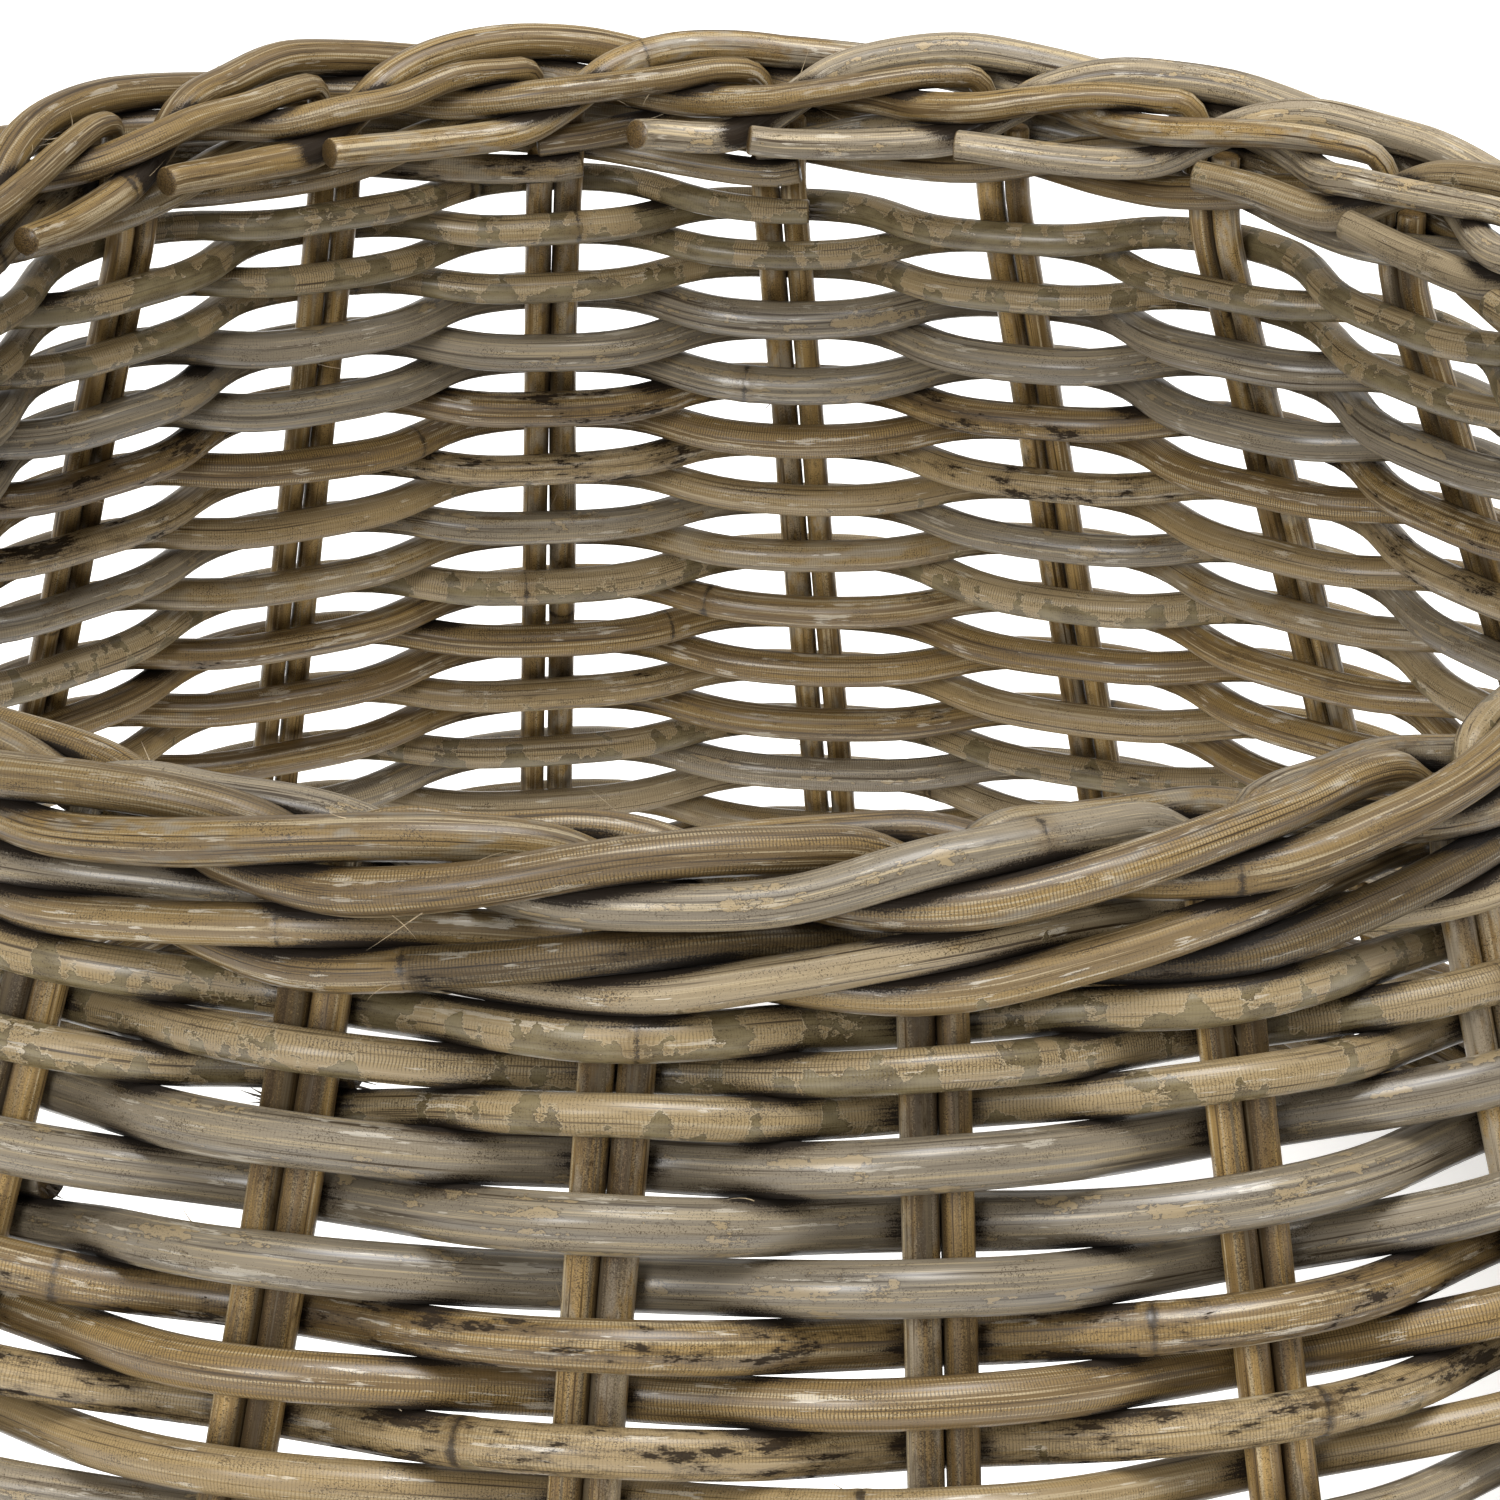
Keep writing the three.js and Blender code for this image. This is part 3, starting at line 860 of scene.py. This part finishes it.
def rattan(name, look):
    f = Finish(name)
    place = f.add("ShaderNodeAttribute", {"attribute_name": "canePlace"}, out="Vector")
    tan, skin, stain, craze = f.parts("caneTone")
    jointGap, cut, dirt, shade = f.parts("caneMark")

    def pattern(part, finer=1.0):
        squeeze, scale, detail, roughness = patterns[part]
        return f.noise(place, squeeze, scale * finer, detail, roughness)

    def mask(value, part):
        return f.ramp(value, *masks[part])

    def stained(value, part):
        return f.ramp(value, *(limit - stain * less for limit, less in stains[part]))

    def around(noise, amount):
        return (noise - noiseMiddle) * amount

    def coat(colour, cover, part):
        strength, tint = coats[part]
        return f.mix(cover * strength, colour, caneColours[tint])

    fibres, bands, blotches = pattern("fibres", look["fine"]), pattern("bands"), pattern("blotches")
    grain, across, edges = pattern("grain"), pattern("across"), pattern("edges")

    # fine cracks in stripes across the cane
    stripes = f.add("ShaderNodeTexWave", {"bands_direction": "Z"},
                    {"Vector": place, **stripePattern}, out=1)
    broken = mask(fibres * shares["broken"][0] + grain * shares["broken"][1], "broken")
    cracked = shares["cracks"][0] + broken * shares["cracks"][1]
    cracks = mask(stripes, "cracks") * cracked * craze * mask(bands, "uncracked")

    # bark peels off in ragged bites that run across the cane, from its upper side first
    down = Wire(f, f.add("ShaderNodeSeparateXYZ", {}, {0: place}).socket.node.outputs["Y"])
    wide, ragged, under = shares["bark"]
    bare, sooner = shares["barkFrom"]
    barkField = across * wide + edges * ragged + down * under - (bare - skin * sooner)
    barkOn = mask(skin, "barked")
    bark = mask(barkField, "bark") * barkOn
    # a raised lip along the bark's edge, painted pale as a highlight, and a painted shadow on the bark
    # beside it
    lipsAndHighlight = mask(barkField, "lipsAndHighlight") * (1 - bark) * barkOn
    lipShadow = bark * mask(barkField, "lipShadow")

    # grey canes are worn through to tan in places, and pale skin flakes stand on them, glossier and
    # painted whiter as a sheen
    grey = mask(tan, "greyWood") * mask(skin, "greySkin")
    wornField = edges * shares["worn"][0] + bands * shares["worn"][1]
    worn = mask(wornField, "worn") * grey
    wornEdge = mask(wornField, "wornEdge") * (1 - worn) * grey
    flakeAndSheenField = pattern("flakesAndSheen") + around(across, shares["flakesAndSheen"])
    flakesAndSheen = mask(flakeAndSheenField, "flakesAndSheen") * look["flakesAndSheen"] * (1 - bark)

    # wood, its fibres and cracks
    darker = mask(bands, "darker")
    greys = f.mix(darker, caneColours["bleached"], caneColours["greyer"])
    tans = f.mix(darker, caneColours["tan"], caneColours["tanDark"])
    tanned = mask(tan + around(blotches, shares["tanned"]), "tanned")
    colour = f.mix(tanned, greys, tans)
    streaks = mask(fibres, "streaks") * look["fibre"]
    colour = coat(colour, mask(skin, "core"), "core")
    colour = coat(colour, mask(fibres, "paleFibres") * look["fibre"], "paleFibres")
    colour = coat(colour, streaks, "streaks")
    colour = coat(colour, cracks, "cracks")

    # bark, worn places, flakes and specks
    barkColour = f.mix(mask(blotches, "darkBark"), caneColours["skin"], caneColours["skinDark"])
    barkStreaks = streaks * shares["barkStreaks"][0] + cracks * shares["barkStreaks"][1]
    barkColour = f.mix(barkStreaks, barkColour, caneColours["brown"])
    colour = f.mix(bark * barkCover, colour, barkColour)
    specks = mask(grain + around(blotches, shares["specks"]), "specks")
    for cover, part in ((lipsAndHighlight, "lipsAndHighlight"), (lipShadow, "lipShadow"), (worn, "worn"),
                        (wornEdge, "wornEdge"), (flakesAndSheen, "flakesAndSheen"), (specks, "specks")):
        colour = coat(colour, cover, part)

    # black weathering, leaf joints, and dirt with painted shade between canes
    blackField = pattern("black") + dirt * shares["black"]
    blackened = stained(blackField, "blackened")
    gapMm = jointGap * tube["markReach"]
    grainRagged, blotchRagged = shares["ragged"]
    raggedGap = gapMm + around(grain, grainRagged) + around(blotches, blotchRagged)
    scar = (1 - stained(raggedGap, "scar")) * mask(gapMm, "nearJoint")
    halo = 1 - mask(raggedGap, "halo")
    # dirt and painted shade, brown further out and black close to where canes touch
    dirtField = dirt + around(grain, shares["dirt"][0]) + around(fibres, shares["dirt"][1])
    grimeAndShade = mask(dirtField, "grimeAndShade") * look["grimeAndShade"]
    for cover, part in ((stained(blackField, "stainEdge"), "stainEdge"), (blackened, "blackened"),
                        (halo, "halo"), (scar, "scar"), (mask(dirtField, "dirt"), "dirt"),
                        (grimeAndShade, "grimeAndShade")):
        colour = coat(colour, cover, part)

    # cut ends, and how light the whole cane is, with the painted light that lifts a weaver's far side
    pith = f.mix(mask(grain, "pith"), caneColours["brown"], caneColours["tanDark"])
    colour = f.mix(cut, colour, pith)
    shaded = f.add("ShaderNodeCombineColor", {}, {0: shade, 1: shade, 2: shade})
    colour = f.mix(1.0, colour, shaded, "MULTIPLY")
    colour = f.add("ShaderNodeHueSaturation", {}, {"Saturation": look["saturation"],
                                                   "Value": look["value"], "Color": colour})

    rough, gloss, relief = surface["rough"], surface["gloss"], surface["relief"]
    roughness = look["rough"] + (noiseMiddle - fibres) * rough["fibres"] - bark * rough["bark"]
    roughness = roughness - tanned * rough["tanned"] + grimeAndShade * rough["grimeAndShade"]
    roughness = roughness + blackened * rough["blackened"]
    roughness = f.ramp(roughness, 0.0, 1.0, rough["least"], rough["most"])
    glossy = mask(bands, "glossBands") * (1 - grimeAndShade) * (1 - blackened) * mask(shade, "glossShade")
    glossy = glossy * look["gloss"] * (1 + grey * gloss["grey"]) + flakesAndSheen * gloss["flakesAndSheen"]
    height = fibres * relief["fibres"] * look["fibre"] + bark * relief["bark"]
    height = height + lipsAndHighlight * relief["lipsAndHighlight"] - stripes * craze * relief["stripes"]
    height = height - worn * relief["worn"] + flakesAndSheen * relief["flakesAndSheen"]
    bump = f.add("ShaderNodeBump", {}, {"Strength": 1.0, "Distance": metresPerMm, "Height": height})
    sockets = {"Base Color": colour, "Roughness": roughness, "Normal": bump, "Coat Weight": glossy}
    for socket in ("Specular IOR Level", "Coat Roughness", "Coat IOR"):
        sockets[socket] = gloss[socket]
    shader = f.add("ShaderNodeBsdfPrincipled", {}, sockets)
    f.add("ShaderNodeOutputMaterial", {}, {0: shader})
    return f.material


# grime is how dark the dirt and painted shade between canes goes
finishes = {
    "stake_rattan": rattan("stakeRattan", {
        "grimeAndShade": 0.7, "saturation": 1.2, "value": 1.35, "rough": 0.46,
        "fibre": 1.0, "fine": 1.0, "gloss": 0.3, "flakesAndSheen": 0.0}),
    "weaver_rattan": rattan("weaverRattan", {
        "grimeAndShade": 0.96, "saturation": 1.2, "value": 0.62, "rough": 0.50,
        "fibre": 0.95, "fine": 1.35, "gloss": 0.6, "flakesAndSheen": 0.45}),
    "wale_rattan": rattan("waleRattan", {
        "grimeAndShade": 0.98, "saturation": 1.2, "value": 0.62, "rough": 0.48,
        "fibre": 1.2, "fine": 1.2, "gloss": 0.5, "flakesAndSheen": 0.6}),
    "border_rattan": rattan("borderRattan", {
        "grimeAndShade": 0.96, "saturation": 1.2, "value": 0.58, "rough": 0.50,
        "fibre": 1.4, "fine": 1.35, "gloss": 0.4, "flakesAndSheen": 0.35}),
}
print("finishes made")

for rod in canes:
    addStations(rod)
    addFrames(rod)
addDirtAndShade()
for rod in canes:
    piece = makeMesh(rod, finishes[rod.slot])
    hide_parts(rod.node)
    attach(piece, "root")

# fuzz that stands off the canes and torn ends
fuzz = {
    "turns": (0.0, 2.1, 4.2),
    "stretches": 5,
    "taper": 1.05,
    "hairs": 420,
    "lowest": 30,
    "fromEnd": 2,
    "length": (2.5, 8),
    "lean": (0.2, 0.8),
    "bend": 0.35,
    "sunk": 0.15,
    "thick": 0.13,
    "thickness": (0.7, 1.3),
    "bristles": 12,
    "bristleLength": (2.0, 6.5),
    "bristlePlace": (0.1, 0.85),
    "bristleLean": (0, 0.35),
    "bristleBend": 0.2,
    "bristleThick": 0.4,
    "spotsDarker": 0.6,
    "pale": ((0.26, 0.2, 0.12, 1), 0.6),  # colour, roughness
    "dark": ((0.05, 0.036, 0.022, 1), 0.7),
}


def hair(start, way, length, bend, thick):
    # a curved three-sided sliver that thins to its tip
    way = way / np.linalg.norm(way)
    side = np.cross(way, bend)
    side /= max(np.linalg.norm(side), 1e-6)
    up = np.cross(side, way)
    sides, stretches = len(fuzz["turns"]), fuzz["stretches"]
    points, faces = [], []
    for k in range(stretches + 1):
        u = k / stretches
        middle = start + way * length * u + bend * length * 0.5 * u * u
        for turn in fuzz["turns"]:
            around = math.cos(turn) * side + math.sin(turn) * up
            points.append(middle + thick * (fuzz["taper"] - u) * around)
    for k in range(stretches):
        for j in range(sides):
            a, b = sides * k + j, sides * k + (j + 1) % sides
            faces.append((a, b, b + sides, a + sides))
    first, last = tuple(range(sides)), tuple(range(sides * stretches, len(points)))
    return points, faces + [first[::-1], last]


def makeFuzz(name, members, material):
    points, faces = [], []
    for start, way, length, bend, thick in members:
        more, around = hair(start, way, length, bend, thick)
        faces += [tuple(i + len(points) for i in face) for face in around]
        points += more
    mesh = bpy.data.meshes.new(name)
    mesh.from_pydata([tuple(p * metresPerMm) for p in points], [], faces)
    thing = placed(name, mesh, material)
    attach(thing, "root")


def strayHairs():
    for _ in range(fuzz["hairs"]):
        cane = canes[dice.integers(0, len(canes))]
        k = dice.integers(fuzz["fromEnd"], len(cane.stations) - fuzz["fromEnd"])
        if cane.stations[k][2] < fuzz["lowest"]:
            continue
        ray = cane.rays[k, dice.integers(0, tube["sides"])]
        ahead = cane.stations[k + 1] - cane.stations[k - 1]
        ahead *= dice.choice([-1, 1]) / np.linalg.norm(ahead)
        start = cane.stations[k] + ray * (cane.width[k] - fuzz["sunk"])
        yield (start, ahead + ray * dice.uniform(*fuzz["lean"]), dice.uniform(*fuzz["length"]),
               dice.normal(0, fuzz["bend"], 3), fuzz["thick"] * dice.uniform(*fuzz["thickness"]))


def tornEnds():
    for cane in canes:
        if cane.slot != "weaver_rattan":
            continue
        for end, inner in ((0, 3), (-1, -4)):
            outwards = cane.stations[end] - cane.stations[inner]
            outwards /= np.linalg.norm(outwards)
            for _ in range(fuzz["bristles"]):
                ray = cane.rays[end, dice.integers(0, tube["sides"])]
                reach = cane.width[end] * dice.uniform(*fuzz["bristlePlace"])
                place = cane.stations[end] + ray * reach
                yield (place - outwards, outwards + ray * dice.uniform(*fuzz["bristleLean"]),
                       dice.uniform(*fuzz["bristleLength"]), dice.normal(0, fuzz["bristleBend"], 3),
                       fuzz["bristleThick"])


def fibreFinish(name, colour, roughness):
    f = Finish(name)
    place = f.add("ShaderNodeTexCoord", out="Object")
    spots = f.ramp(f.noise(place, *patterns["fibreSpots"]), *masks["fibreSpots"])
    tint = f.mix(spots, colour, tuple(c * fuzz["spotsDarker"] for c in colour))
    shader = f.add("ShaderNodeBsdfPrincipled", {}, {"Base Color": tint, "Roughness": roughness})
    f.add("ShaderNodeOutputMaterial", {}, {0: shader})
    return f.material


makeFuzz("stray_fibres", list(strayHairs()), fibreFinish("paleFibre", *fuzz["pale"]))
makeFuzz("torn_ends", list(tornEnds()), fibreFinish("darkFibre", *fuzz["dark"]))
print("canes meshed")

# floor, light and camera
stage = {
    "floor": (0.9, 0.9, 0.89, 1),
    "roughness": 0.85,
    "glow": (1, 1, 1, 1),
    "glowStrength": 0.48,
    "size": 14.0,
    "sky": (1, 0.97, 0.92, 1),
    "skyStrength": 0.82,
}
floorFinish = Finish("paleFloor")
floorShader = floorFinish.add("ShaderNodeBsdfPrincipled", {}, {
    "Base Color": stage["floor"], "Roughness": stage["roughness"],
    "Emission Color": stage["glow"], "Emission Strength": stage["glowStrength"]})
floorFinish.add("ShaderNodeOutputMaterial", {}, {0: floorShader})
half = stage["size"] / 2
floorCorners = [(-half, -half, 0), (half, -half, 0), (half, half, 0), (-half, half, 0)]
floorMesh = bpy.data.meshes.new("floor")
floorMesh.from_pydata(floorCorners, [], [(0, 1, 2, 3)])
floor = placed("floor", floorMesh, floorFinish.material)

world = bpy.data.worlds.new("paleRoom")
world.use_nodes = True
sky = world.node_tree.nodes["Background"].inputs
sky["Color"].default_value = stage["sky"]
sky["Strength"].default_value = stage["skyStrength"]
bpy.context.scene.world = world
bpy.context.scene.view_settings.view_transform = "Standard"

lamps = {
    "overhead": {"place": (0.45, -0.4, 2.1), "aim": (0, 0, 0.2), "size": (1.2, 0.9), "power": 60},
    "frontLeft": {"place": (-1.0, -2.4, 1.65), "aim": (0, 0.05, 0.2), "size": (0.9, 0.9), "power": 60},
}
for name, lamp in lamps.items():
    light = bpy.data.lights.new(name, "AREA")
    light.shape = "RECTANGLE"
    light.size, light.size_y = lamp["size"]
    light.energy = lamp["power"]
    holder = placed(name, light)
    holder.location = lamp["place"]
    way = Vector(lamp["aim"]) - Vector(lamp["place"])
    holder.rotation_euler = way.to_track_quat("-Z", "Y").to_euler()

shot = {
    "place": (0.07754, -1.02506, 0.45225),
    "ahead": (-0.060962, 0.895926, -0.440001),
    "right": (0.997456, 0.071001, 0.006376),
    "raised": 0.268,
    "lens": 133.4,
    "sensor": 36.0,
    "nearest": 0.05,
}
lensData = bpy.data.cameras.new("camera")
lensData.lens = shot["lens"]
lensData.sensor_width = shot["sensor"]
lensData.clip_start = shot["nearest"]
camera = placed("camera", lensData)
ahead, right = Vector(shot["ahead"]), Vector(shot["right"])
turned = Matrix((right, right.cross(ahead), -ahead)).transposed().to_4x4()
place = Vector(shot["place"]) + Vector((0, 0, shot["raised"]))
camera.matrix_world = Matrix.Translation(place) @ turned
bpy.context.scene.camera = camera
